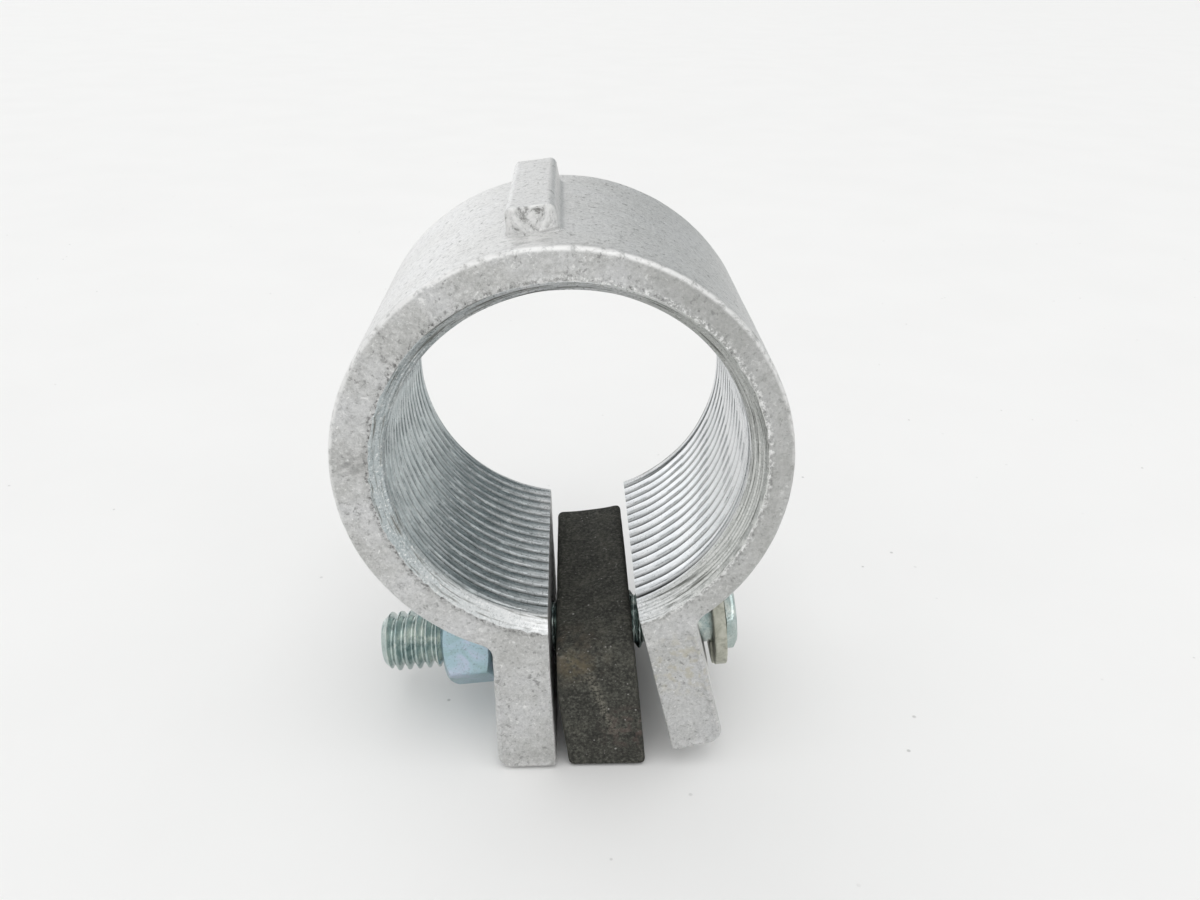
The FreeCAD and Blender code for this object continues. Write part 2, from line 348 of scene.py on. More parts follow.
def ear_outline(side):
    """One ear from its inner foot corner to the ring, and the ring angle where its root ends."""
    foot = SLIT_DATUM_Z - EAR_DROP[side]
    outer = SLIT_HALF_WIDTH + EAR_THICKNESS[side]
    outer_low = outer + EAR_FOOT_GROWTH[side]
    inner_centre = (SLIT_HALF_WIDTH + EAR_INNER_CORNER, foot + EAR_INNER_CORNER)
    outer_centre = (outer_low - EAR_OUTER_CORNER, foot + EAR_OUTER_CORNER)
    low = np.vstack([
        arc(inner_centre, EAR_INNER_CORNER, 180, 270, 7),
        line((inner_centre[0], foot), (outer_centre[0], foot), 10),
        arc(outer_centre, EAR_OUTER_CORNER, 270, 360, 14),
    ])
    low = splayed(low, side)
    up = splayed([(outer, SLIT_DATUM_Z - 1), (outer, SLIT_DATUM_Z + 6)], side)
    start, way = up[0], (up[1] - up[0]) / np.linalg.norm(up[1] - up[0])
    from_centre = start - np.array([RING_X, 0])
    along = from_centre @ way
    reach = -along - math.sqrt(along**2 - from_centre @ from_centre + OUTER_RADIUS**2)
    meet = start + way * reach
    below = meet - way * EAR_ROOT_REACH
    sign = 1 if side == "head" else -1
    meet_angle = math.atan2(meet[0] - RING_X, meet[1])
    past_angle = meet_angle - sign * EAR_ROOT_REACH / OUTER_RADIUS
    past = np.array([RING_X + OUTER_RADIUS * math.sin(past_angle), OUTER_RADIUS * math.cos(past_angle)])
    root = bend(below, meet, past, 10)
    face = line(low[-1], below, 40)
    return np.vstack([low, face, root]), past_angle


def wall_point(radius, sign):
    """Where a circle of a radius round the bore axis meets a slit wall, low down."""
    z = -radius
    for _ in range(20):
        x = SLIT_HALF_WIDTH + (SLIT_DATUM_Z - z) * math.tan(SPLAY)
        z = -np.sqrt(radius**2 - x**2)
    return np.stack([sign * x, z], axis=-1)


def lug_path(start_angle, end_angle, count_side, count_top):
    """The ring's top with the lug on it and without it, point for point, from +X to -X."""
    corner = LUG_CORNER
    top_centre = (LUG_HALF_WIDTH - 0.12 - corner, LUG_TOP_Z - corner)
    round_top = arc(top_centre, corner, 0, 90, 9)
    halves = []
    for sign in (1, -1):
        on_ring = [LUG_X + sign * reach - RING_X for reach in (LUG_HALF_WIDTH + 0.55, LUG_HALF_WIDTH)]
        foot, base = [math.sqrt(OUTER_RADIUS**2 - x**2) for x in on_ring]
        start = np.array([LUG_HALF_WIDTH + 0.55, foot])
        corner_low = np.array([LUG_HALF_WIDTH + 0.12, base + 0.1])
        side_low = np.array([LUG_HALF_WIDTH + 0.03, base + 0.75])
        root = bend(start, corner_low, side_low, 7)
        half = np.vstack([root, line(side_low, round_top[0], count_side), round_top])
        halves.append(half * [sign, 1] + [LUG_X, 0])
    right, left = halves[0], halves[1][::-1]
    with_lug = np.vstack([right, line(right[-1], left[0], count_top), left])
    x = np.linspace(with_lug[0, 0], with_lug[-1, 0], len(with_lug))
    without = np.stack([x, np.sqrt(OUTER_RADIUS**2 - (x - RING_X)**2)], axis=1)
    right_arc = np.linspace(start_angle, math.asin((x[0] - RING_X) / OUTER_RADIUS), 150)[1:-1]
    left_arc = np.linspace(math.asin((x[-1] - RING_X) / OUTER_RADIUS), end_angle, 150)[1:-1]
    return right_arc, with_lug, without, left_arc


def ring_points(angles):
    """Points of the ring's outer circle at angles from the top."""
    return np.stack([RING_X + OUTER_RADIUS * np.sin(angles), OUTER_RADIUS * np.cos(angles)], axis=1)


def bore_surface(angle, y):
    """The bore's radius: broad thread lands with narrow grooves, and the countersunk mouths."""
    phase = (y / PIPE_PITCH - angle / TURN) % 1.0
    off_root = np.abs(phase - 0.5) * PIPE_PITCH
    flank = (off_root - PIPE_ROOT_HALF_WIDTH) / (PIPE_GROOVE_HALF_WIDTH - PIPE_ROOT_HALF_WIDTH)
    groove = PIPE_GROOVE_DEPTH * (1 - np.clip(flank, 0, 1))
    crown = 0.05 * np.clip(1 - (PIPE_PITCH / 2 - off_root) / 0.55, -1, 1)
    from_end = np.minimum(y - FRONT_Y, BACK_Y - y)
    mouth_depth = MOUTH_MEAN_DEPTH + MOUTH_DEPTH_SWING * np.cos(angle - MOUTH_DEEPEST_AT)
    past_mouth = from_end - mouth_depth
    wide_side = smoothstep(-0.3, 0.9, np.sin(angle))
    cut_in = smoothstep(0, 1, (past_mouth - 0.2 - 0.6 * wide_side) / 1.2)
    wear = 0.08 * np.sin(3 * angle + 0.5) + 0.05 * np.sin(11 * angle + 2)
    entry = 0.42 * np.exp(-((past_mouth - 1.35) / 0.34)**2) * wide_side
    thread = BORE_RADIUS + 0.06 + cut_in * (groove * (1 + wear) - crown) + entry
    mouth = MOUTH_RADIUS - (MOUTH_RADIUS - BORE_RADIUS) * from_end / mouth_depth
    lines = 0.5 + 0.5 * np.sin(TURN * from_end / 0.38 + 0.6 * np.sin(2 * angle) + angle)
    mouth = mouth + 0.09 * lines * smoothstep(0.2, 0.7, from_end)
    step = (0.1 + 0.16 * wide_side) * np.exp(-((past_mouth - 0.02) / 0.12)**2)
    return np.maximum(thread, mouth) + step


def casting_stations():
    """Y stations, close together at the ends, the lug's ends and the thread."""
    fine = np.array([0, 0.015, 0.05, 0.1, 0.17, 0.26, 0.37, 0.5, 0.66, 0.82])
    length = BACK_Y - FRONT_Y - 0.04
    distance = end_stations(length, fine, 0.11)
    extra = []
    for place in (LUG_FRONT_SETBACK, length - LUG_BACK_SETBACK):
        extra.append(np.arange(place - 0.5, place + 2.2, 0.07))
    distance = np.unique(np.round(np.concatenate([distance, *extra]), 4))
    keep = np.concatenate([[True], np.diff(distance) > 0.012])
    keep[-1] = True
    return FRONT_Y + 0.02 + distance[keep]


def make_casting(materials):
    """The ring, ears, lug, threaded bore and slit as one closed mesh."""
    head_ear, head_angle = ear_outline("head")
    nut_ear, nut_angle = ear_outline("nut")
    right_arc, with_lug, without, left_arc = lug_path(head_angle, nut_angle, 8, 26)
    outer = np.vstack([
        head_ear,
        ring_points(right_arc),
        without,
        ring_points(left_arc),
        nut_ear[::-1],
    ])
    lug_start = len(head_ear) + len(right_arc)
    lug_index = np.arange(lug_start, lug_start + len(without))
    bore_count, wall_count = 760, 46
    y = casting_stations()
    rows = len(y)
    rim_angle = math.pi - math.asin(6.75 / 24.0)
    right, left = [wall_point(bore_surface(np.full(rows, sign * rim_angle), y), sign) for sign in (1, -1)]
    right_angle, left_angle = [np.arctan2(side[:, 0], side[:, 1]) for side in (right, left)]
    t = np.linspace(0, 1, bore_count)
    angle = left_angle[:, None] * (1 - t) + right_angle[:, None] * t
    radius = bore_surface(angle, y[:, None])
    unrolled = np.stack([angle * 24, 0 * angle, y[:, None] + 0 * angle], axis=-1)
    tear = value_noise(unrolled.reshape(-1, 3), 0.7, 3)
    tear = tear.reshape(angle.shape) * np.exp(-((y[:, None] - FRONT_Y) / 0.35)**2)
    radius = radius + 0.14 * tear * smoothstep(0.4, 1.4, np.abs(angle))
    bore = np.stack([radius * np.sin(angle), radius * np.cos(angle)], axis=-1)
    bore[:, 0], bore[:, -1] = left, right
    s = np.linspace(0, 1, wall_count + 2)[1:-1][:, None]
    right_wall = right[:, None] * (1 - s) + outer[0] * s
    left_wall = outer[-1] * (1 - s) + left[:, None] * s
    shell = np.repeat(outer[None], rows, axis=0)

    lug_front = FRONT_Y + LUG_FRONT_SETBACK
    lug_back = BACK_Y - LUG_BACK_SETBACK
    plan = round_inset(LUG_HALF_WIDTH + 0.1 - np.abs(with_lug[:, 0] - LUG_X), LUG_PLAN_CORNER)
    rough = value_noise(np.stack([with_lug[:, 0], with_lug[:, 1], with_lug[:, 0] * 0], axis=1), 1.1, 5)
    begin = lug_front + plan + 0.16 * rough + 0.06
    finish = lug_back - plan - 0.06
    front_rise = smoothstep(begin[None], begin[None] + 0.75, y[:, None])
    back_rise = smoothstep(finish[None], finish[None] - 0.7, y[:, None])
    rise = (front_rise * back_rise)[..., None]
    shell[:, lug_index] = without * (1 - rise) + with_lug * rise

    outline = np.concatenate([bore, right_wall, shell, left_wall], axis=1)
    columns = outline.shape[1]
    normal = outward(outline)
    foot_ramp = np.linspace(FOOT_EDGE_ROUND, RIM_EDGE_ROUND, FOOT_RAMP_POINTS)
    wall_ramp = np.linspace(BORE_EDGE_ROUND, FOOT_EDGE_ROUND, wall_count)
    rim = np.full(len(outer) - 2 * FOOT_RAMP_POINTS, RIM_EDGE_ROUND)
    edge = np.concatenate([
        np.full(bore_count, BORE_EDGE_ROUND), wall_ramp, foot_ramp, rim, foot_ramp[::-1], wall_ramp[::-1],
    ])
    from_end = np.minimum(y - y[0], y[-1] - y)[:, None]
    inset = round_inset(from_end, edge[None])

    wall_cast = smoothstep(0, wall_count * 0.3, np.arange(wall_count))
    cast = np.concatenate([np.zeros(bore_count), wall_cast, np.ones(len(outer)), wall_cast[::-1]])
    place = at_stations(outline, y)
    waves = 0.5 + 0.5 * value_noise(place, 7.0, 11)
    lumps = 0.5 + 0.5 * value_noise(place, 2.2, 12)
    grain = 0.5 + 0.5 * value_noise(place, 0.8, 13)
    uneven = (0.09 * waves + 0.05 * lumps + 0.035 * grain).reshape(rows, columns)
    inset = inset + uneven * cast[None]
    turned = np.arctan2(outline[..., 0] - RING_X, outline[..., 1])
    for where, how_wide, how_deep in DENTS:
        dent = np.exp(-((turned - where) / how_wide)**2 - ((y[:, None] - FRONT_Y) / 0.9)**2)
        inset = inset + how_deep * dent * cast[None]
    outline = outline - normal * inset[..., None]

    points = at_stations(outline, y)
    faces = grid_faces(rows, columns, flip=True)
    machined = np.zeros(columns, int)
    machined[:bore_count - 1] = 1
    kinds = np.tile(machined, rows - 1)

    def end_drop(inner):
        at = np.stack([inner[:, 0], inner[:, 1] * 0, inner[:, 1]], axis=1)
        lump = 0.5 + 0.5 * value_noise(at, 5.0, 21)
        small = 0.5 + 0.5 * value_noise(at, 1.4, 22)
        speck = value_noise(at, 0.7, 23)
        ear_step = smoothstep(-27.2, -27.8, inner[:, 1] + 0.5 * value_noise(at, 2.0, 24))
        flow = np.zeros(len(inner))
        shaped = inner + 0.5 * np.stack([value_noise(at, 1.8, 25), value_noise(at, 1.8, 26)], axis=1)
        for x, z, wide in FLOW_PATCHES:
            away = np.hypot(shaped[:, 0] - x, (shaped[:, 1] - z) * 0.7)
            flow = np.maximum(flow, smoothstep(wide, wide - 0.4, away))
        return 0.08 * lump + 0.05 * small + 0.03 * (speck + 1) + 0.24 * ear_step * (1 - flow)

    net, net_faces = cap_ends(outline, y, (0.45, 0.8), end_drop)
    kinds = np.concatenate([kinds, np.zeros(len(net_faces), int)])
    piece = new_object("casting", np.vstack([points, net]), faces + net_faces, materials, kinds.tolist())
    cut_round_hole(piece, BOLT_HOLE_RADIUS, (0, BOLT_POINT.y, BOLT_HOLE_Z), (1, 0, 0), 80)
    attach(piece, "coupling")
    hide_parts("coupling_body")


# ---------------------------------------------------------------- bolt, nut and washer

def on_bolt(points):
    """Points drawn as (along, out towards -Y, up) from the bolt axis, placed on the leaning bolt."""
    points = np.asarray(points, float)
    along = np.array(BOLT_AXIS)
    toward = np.array([0, -1, 0])
    up = np.cross(toward, along)
    up = up if up[2] > 0 else -up
    return np.array(BOLT_POINT) + points[:, :1] * along + points[:, 1:2] * toward + points[:, 2:] * up


def around(along, radius, angle):
    """Grid points (rows, columns, 3) round the bolt axis, angles from up towards the front."""
    return np.stack([along + 0 * radius, radius * np.sin(angle), radius * np.cos(angle)], axis=-1)


def hex_radius(angle, across_flats, turn, corner_round):
    """A hexagon's radius at an angle, its corners slightly rounded."""
    off_flat = (angle - turn + TURN / 12) % (TURN / 6) - TURN / 12
    off_flat = TURN / 12 - np.abs(off_flat)
    sharp = across_flats / 2 / np.cos(off_flat)
    limit = across_flats / math.sqrt(3) - corner_round
    return np.minimum(sharp, limit)


def chamfer(flat, across_flats):
    """The round face's radius on a chamfered hexagon, and how far each side stops short of it."""
    face = across_flats / 2 * HEX_FACE_SHARE
    return face, np.maximum(flat - face, 0) * math.tan(HEX_CHAMFER)


def hex_angles(turn, per_flat):
    """Angles that include every corner and crowd towards it."""
    t = np.linspace(-1, 1, per_flat, endpoint=False)
    crowded = np.sign(t) * np.abs(t)**0.6
    steps = (crowded + 1) / 2 * TURN / 6
    return np.concatenate([turn + TURN / 6 * k + steps for k in range(6)])


def bolt_thread_radius(along, angle):
    """Radius of the bolt's right-hand 60 degree thread, chamfered at the start."""
    phase = (along / BOLT_PITCH + angle / TURN) % 1.0
    off_root = np.abs(phase - 0.5) * BOLT_PITCH
    root_flat, crest_flat = 0.24, 0.22
    flank = (BOLT_PITCH - root_flat - crest_flat) / 2
    rise = np.clip((off_root - root_flat / 2) / flank, 0, 1)
    rise = rise * rise * (3 - 2 * rise) * 0.35 + rise * 0.65
    depth = BOLT_THREAD_DEPTH * smoothstep(BOLT_THREAD_END, BOLT_THREAD_END - 1.6, along)
    radius = BOLT_CREST_RADIUS - depth * (1 - rise)
    shank = smoothstep(BOLT_THREAD_END - 0.4, BOLT_THREAD_END, along)
    radius = radius * (1 - shank) + BOLT_SHANK_RADIUS * shank
    return np.minimum(radius, 3.55 + (along - BOLT_START) * 0.95)


def make_bolt(materials):
    """Threaded shank and low hexagon head as one closed mesh."""
    angle = hex_angles(HEAD_TURN, 16)
    shank = np.concatenate([
        np.arange(BOLT_START, BOLT_THREAD_END, 0.095),
        np.linspace(BOLT_THREAD_END, HEAD_FACE, 12),
    ])
    rows = [around(BOLT_START, np.full(len(angle), r), angle) for r in (0.02, 1.2, 2.4, 3.2)]
    rows += [around(a, bolt_thread_radius(np.full(len(angle), a), angle), angle) for a in shank]
    flat = hex_radius(angle, HEAD_ACROSS_FLATS, HEAD_TURN, 0.12)
    face, cut = chamfer(flat, HEAD_ACROSS_FLATS)
    side_top = HEAD_TOP - cut
    ledge = flat - 0.12 - BOLT_SHANK_RADIUS
    rows += [around(HEAD_FACE, BOLT_SHANK_RADIUS + ledge * t, angle) for t in (0.5, 1)]
    rows += [around(HEAD_FACE + 0.1, flat, angle)]
    side = side_top - 0.16 - HEAD_FACE - 0.1
    rows += [around(HEAD_FACE + 0.1 + side * t, flat, angle) for t in (0.33, 0.66, 1)]
    rows += [around(side_top - 0.05, flat - 0.04, angle), around(side_top, flat - 0.14, angle)]
    rim = np.minimum(flat - 0.2, face)
    rows += [around(HEAD_TOP - 0.02, rim, angle), around(HEAD_TOP, rim - 0.15, angle)]
    rows += [around(HEAD_TOP, rim * t, angle) for t in (0.6, 0.25, 0.01)]
    grid = np.stack(rows)
    points = on_bolt(grid.reshape(-1, 3))
    piece = new_object("bolt", points, grid_faces(len(rows), len(angle), flip=True), materials)
    close_ends(piece, len(angle))
    piece.data.set_sharp_from_angle(angle=math.radians(42))
    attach(piece, "bolt")
    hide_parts("clamp_bolt")


def close_ends(piece, columns):
    """Close a swept mesh's two small end rings."""
    work = bmesh.new()
    work.from_mesh(piece.data)
    work.verts.ensure_lookup_table()
    bmesh.ops.pointmerge(work, verts=work.verts[:columns], merge_co=work.verts[0].co)
    work.verts.ensure_lookup_table()
    tail = work.verts[len(work.verts) - columns:]
    bmesh.ops.pointmerge(work, verts=tail, merge_co=tail[0].co)
    bmesh.ops.recalc_face_normals(work, faces=work.faces)
    work.to_mesh(piece.data)
    work.free()


def make_nut(materials):
    """Hexagon nut, chamfered on both faces, with countersunk bore ends."""
    angle = hex_angles(NUT_TURN, 18)
    flat = hex_radius(angle, NUT_ACROSS_FLATS, NUT_TURN, 0.16)
    face, cut = chamfer(flat, NUT_ACROSS_FLATS)
    full = np.full(len(angle), 1.0)
    end = [
        (0.45, NUT_BORE_RADIUS),
        (0.05, NUT_BORE_RADIUS + 0.42),
        (0, NUT_BORE_RADIUS + 0.55),
        (0, face - 0.15),
        (0.03, np.minimum(face + 0.02, flat - 0.2)),
        (cut, flat - 0.16),
        (cut + 0.06, flat - 0.04),
        (cut + 0.2, flat),
    ]
    rows = [(NUT_OUTER + depth, radius) for depth, radius in end]
    rows.insert(3, (NUT_OUTER, face - 0.7))
    rows += [(NUT_OUTER + 2.2, flat), (NUT_OUTER + 4.2, flat)]
    rows += [(NUT_INNER - depth, radius) for depth, radius in end[::-1]]
    grid = np.stack([around(along * full, radius * full, angle) for along, radius in rows])
    points = on_bolt(grid.reshape(-1, 3))
    count = len(angle)
    faces = grid_faces(len(rows), count, flip=True)
    last = (len(rows) - 1) * count
    for column in range(count):
        right = (column + 1) % count
        faces.append((last + column, column, right, last + right))
    piece = new_object("nut", points, faces, materials)
    recalculate(piece)
    piece.data.set_sharp_from_angle(angle=math.radians(35))
    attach(piece, "nut")
    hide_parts("hex_nut")


def recalculate(piece):
    """Make a closed mesh's normals point outwards."""
    work = bmesh.new()
    work.from_mesh(piece.data)
    bmesh.ops.recalc_face_normals(work, faces=work.faces)
    work.to_mesh(piece.data)
    work.free()


def make_washer(materials):
    """Split spring washer: a rounded square section swept nearly all the way round."""
    half = 0.94
    middle = (WASHER_INNER + WASHER_OUTER) / 2
    corner = 0.22
    inner, outer = WASHER_BORE_RADIUS, WASHER_RADIUS
    section = np.vstack([
        arc((inner + corner, half - corner - 0.04), corner, 180, 90, 5),
        line((inner + corner, half - 0.04), (outer - corner, half), 6),
        arc((outer - corner, half - corner), corner, 90, 0, 5),
        line((outer, half - corner), (outer, -half + corner), 3),
        arc((outer - corner, -half + corner), corner, 0, -90, 5),
        line((outer - corner, -half), (inner + corner, -half + 0.04), 6),
        arc((inner + corner, -half + corner + 0.04), corner, -90, -180, 5),
    ])
    sweep = np.linspace(WASHER_SPLIT_HALF, TURN - WASHER_SPLIT_HALF, 150)
    rows = []
    for step, angle in enumerate(sweep):
        share = step / (len(sweep) - 1) - 0.5
        at = WASHER_SPLIT_ANGLE + angle
        rows.append(np.stack([
            middle + section[:, 1] + 2 * WASHER_SPRING * share,
            section[:, 0] * np.sin(at),
            section[:, 0] * np.cos(at),
        ], axis=1))
    grid = np.stack(rows)
    flat = grid.reshape(-1, 3)
    wear = value_noise(flat, 0.9, 31) * 0.035 + value_noise(flat, 2.3, 32) * 0.03
    outwards = flat * [0, 1, 1] / np.hypot(flat[:, 1], flat[:, 2])[:, None]
    flat = flat - outwards * np.abs(wear)[:, None]
    count = len(section)
    faces = grid_faces(len(rows), count)
    faces.append(tuple(range(count)))
    faces.append(tuple(range((len(rows) - 1) * count, len(rows) * count))[::-1])
    piece = new_object("washer", on_bolt(flat), faces, materials)
    recalculate(piece)
    piece.data.set_sharp_from_angle(angle=math.radians(50))
    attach(piece, "washer")
    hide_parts("lock_washer")


# ---------------------------------------------------------------- the rubber pad

def make_pad(materials):
    """Rubber block with rounded edges, a slightly hollow top and uneven faces."""
    top_z, low_z = PAD_HIGH[2] - 0.02, PAD_LOW[2] + 0.02
    top_shift, half_top = -0.3, 5.58
    corners = np.array([
        (-5.88, top_z + 0.08),
        (-6.83, -35.5),
        (-7.13, low_z + 1.5),
        (4.58, low_z + 0.02),
        (5.28, top_z + 0.08),
    ])
    outline = []
    for index in range(5):
        here, before, after = corners[index], corners[index - 1], corners[(index + 1) % 5]
        back = (before - here) / np.linalg.norm(before - here)
        on = (after - here) / np.linalg.norm(after - here)
        start, end = here + back * PAD_CORNER, here + on * PAD_CORNER
        outline.append(bend(start, here, end, 8))
        next_start = after - on * PAD_CORNER
        outline.append(line(end, next_start, max(9, int(np.linalg.norm(next_start - end) / 0.55))))
    outline = np.vstack(outline)
    hollow = 0.36 * np.clip(1 - ((outline[:, 0] - top_shift) / half_top)**2, 0, 1)
    outline[:, 1] -= hollow * smoothstep(top_z - 2, top_z - 0.2, outline[:, 1])
    fine = np.array([0, 0.03, 0.1, 0.2, 0.34, 0.5, 0.7, 0.95])
    y = PAD_LOW[1] + 0.03 + end_stations(PAD_HIGH[1] - PAD_LOW[1] - 0.06, fine, 0.3)
    rows, columns = len(y), len(outline)
    grid = np.repeat(outline[None], rows, axis=0)
    normal = outward(grid)
    from_end = np.minimum(y - y[0], y[-1] - y)[:, None]
    place = at_stations(grid, y)
    uneven = 0.06 * (1 + value_noise(place, 8.0, 41)) + 0.035 * (1 + value_noise(place, 2.4, 42))
    uneven = uneven + 0.012 * (1 + value_noise(place, 0.8, 43))
    inset = round_inset(from_end, 0.55) + uneven.reshape(rows, columns)
    grid = grid - normal * inset[..., None]
    points = at_stations(grid, y)

    def end_drop(inner):
        at = np.stack([inner[:, 0], inner[:, 1] * 0, inner[:, 1]], axis=1)
        return 0.12 * (1 + value_noise(at, 5.0, 44)) + 0.05 * (1 + value_noise(at, 1.6, 45))

    net, net_faces = cap_ends(grid, y, (0.4, 0.6), end_drop)
    faces = grid_faces(rows, columns, flip=True) + net_faces
    piece = new_object("pad", np.vstack([points, net]), faces, materials)
    cut_round_hole(piece, PAD_HOLE_RADIUS, tuple(BOLT_POINT), tuple(BOLT_AXIS), 60)
    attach(piece, "pad")
    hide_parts("gap_pad")


# ---------------------------------------------------------------- materials

CASTING_METALLIC = 0.6
ZINC_METALLIC = 0.95
DUST_TRAILS = ((0.9, 30.5, -28.6, -33.0, 0.5), (0.21, 8.0, -33.0, -45.0, 1.0))


class Paint:
    """A node material, built with short calls. Texture lengths are millimetres on the piece."""

    def __init__(self, name):
        self.material = bpy.data.materials.new(name)
        self.material.use_nodes = True
        self.tree = self.material.node_tree
        self.shader = self.tree.nodes["Principled BSDF"]
        coordinate = self.tree.nodes.new("ShaderNodeTexCoord")
        self.place = self.scaled(coordinate.outputs["Object"], (1000, 1000, 1000))

    def link(self, source, target):
        """Link a socket, or set a plain value, on a target socket."""
        if isinstance(source, bpy.types.NodeSocket):
            self.tree.links.new(source, target)
        else:
            target.default_value = source

    def scaled(self, vector, scale):
        """A vector multiplied by constants."""
        node = self.tree.nodes.new("ShaderNodeVectorMath")
        node.operation = "MULTIPLY"
        self.link(vector, node.inputs[0])
        node.inputs[1].default_value = scale
        return node.outputs[0]

    def noise(self, cell, detail=3.0, rough=0.55, distortion=0.0, vector=None):
        """Noise from 0 to 1 with features about `cell` mm across."""
        node = self.tree.nodes.new("ShaderNodeTexNoise")
        self.link(vector or self.place, node.inputs["Vector"])
        node.inputs["Scale"].default_value = 1.0 / cell
        node.inputs["Detail"].default_value = detail
        node.inputs["Roughness"].default_value = rough
        node.inputs["Distortion"].default_value = distortion
        return node.outputs["Fac"]

    def cells(self, cell):
        """Distance to the nearest scattered point, about 0 to 1, with points `cell` mm apart."""
        node = self.tree.nodes.new("ShaderNodeTexVoronoi")
        self.link(self.place, node.inputs["Vector"])
        node.inputs["Scale"].default_value = 1.0 / cell
        return node.outputs["Distance"]

    def ramp(self, value, stops, smooth=False):
        """A colour or grey ramp; stops are (position, grey or colour)."""
        node = self.tree.nodes.new("ShaderNodeValToRGB")
        node.color_ramp.interpolation = "EASE" if smooth else "LINEAR"
        elements = node.color_ramp.elements
        while len(elements) < len(stops):
            elements.new(0.5)
        for element, (position, colour) in zip(elements, stops):
            element.position = position
            if isinstance(colour, (int, float)):
                colour = (colour, colour, colour)
            element.color = (*colour, 1)
        self.link(value, node.inputs["Fac"])
        return node.outputs["Color"]

    def math(self, operation, a, b=0.0):
        """A math node."""
        node = self.tree.nodes.new("ShaderNodeMath")
        node.operation = operation
        self.link(a, node.inputs[0])
        self.link(b, node.inputs[1])
        return node.outputs[0]

    def times(self, *values):
        """The product of values."""
        product = values[0]
        for value in values[1:]:
            product = self.math("MULTIPLY", product, value)
        return product

    def plus(self, a, b):
        """The sum of two values."""
        return self.math("ADD", a, b)

    def coat(self, colour, *shares):
        """Lay a colour over the tone so far, by the product of the shares."""
        self.tone = self.mix(self.times(*shares), self.tone, colour)

    def mix(self, share, a, b):
        """Mix two colours."""
        node = self.tree.nodes.new("ShaderNodeMix")
        node.data_type = "RGBA"
        self.link(share, node.inputs["Factor"])
        self.link(a if isinstance(a, bpy.types.NodeSocket) else (*a, 1), node.inputs["A"])
        self.link(b if isinstance(b, bpy.types.NodeSocket) else (*b, 1), node.inputs["B"])
        return node.outputs["Result"]

    def parts(self):
        """X, Y and Z on the piece, in mm."""
        node = self.tree.nodes.new("ShaderNodeSeparateXYZ")
        self.link(self.place, node.inputs[0])
        return node.outputs

    def from_axis(self, x, z, shift):
        """Distance from a line along Y, from X and Z in mm; shift moves the line towards -X."""
        moved = self.math("ADD", x, shift)
        return self.math("SQRT", self.plus(self.times(moved, moved), self.times(z, z)))

    def near(self, point, radius, soft):
        """1 within a radius of a point, in mm, falling to 0 over a soft edge."""
        node = self.tree.nodes.new("ShaderNodeVectorMath")
        node.operation = "DISTANCE"
        self.link(self.place, node.inputs[0])
        node.inputs[1].default_value = point
        return self.between(node.outputs["Value"], radius + soft, radius)

    def between(self, value, low, high):
        """0 at low, 1 at high, clamped; low may be the larger."""
        node = self.tree.nodes.new("ShaderNodeMapRange")
        self.link(value, node.inputs["Value"])
        node.inputs["From Min"].default_value = low
        node.inputs["From Max"].default_value = high
        return node.outputs["Result"]

    def bump(self, height, strength, distance_mm, base=None):
        """A bump layer over another."""
        node = self.tree.nodes.new("ShaderNodeBump")
        node.inputs["Strength"].default_value = strength
        node.inputs["Distance"].default_value = distance_mm * MM
        self.link(height, node.inputs["Height"])
        if base is not None:
            self.link(base, node.inputs["Normal"])
        return node.outputs["Normal"]

    def finish(self, colour, roughness, metallic, normal=None, specular=0.5):
        """Set the shader's main inputs and return the material."""
        self.link(colour, self.shader.inputs["Base Color"])
        self.link(roughness, self.shader.inputs["Roughness"])
        self.link(metallic, self.shader.inputs["Metallic"])
        self.shader.inputs["Specular IOR Level"].default_value = specular
        if normal is not None:
            self.link(normal, self.shader.inputs["Normal"])
        return self.material


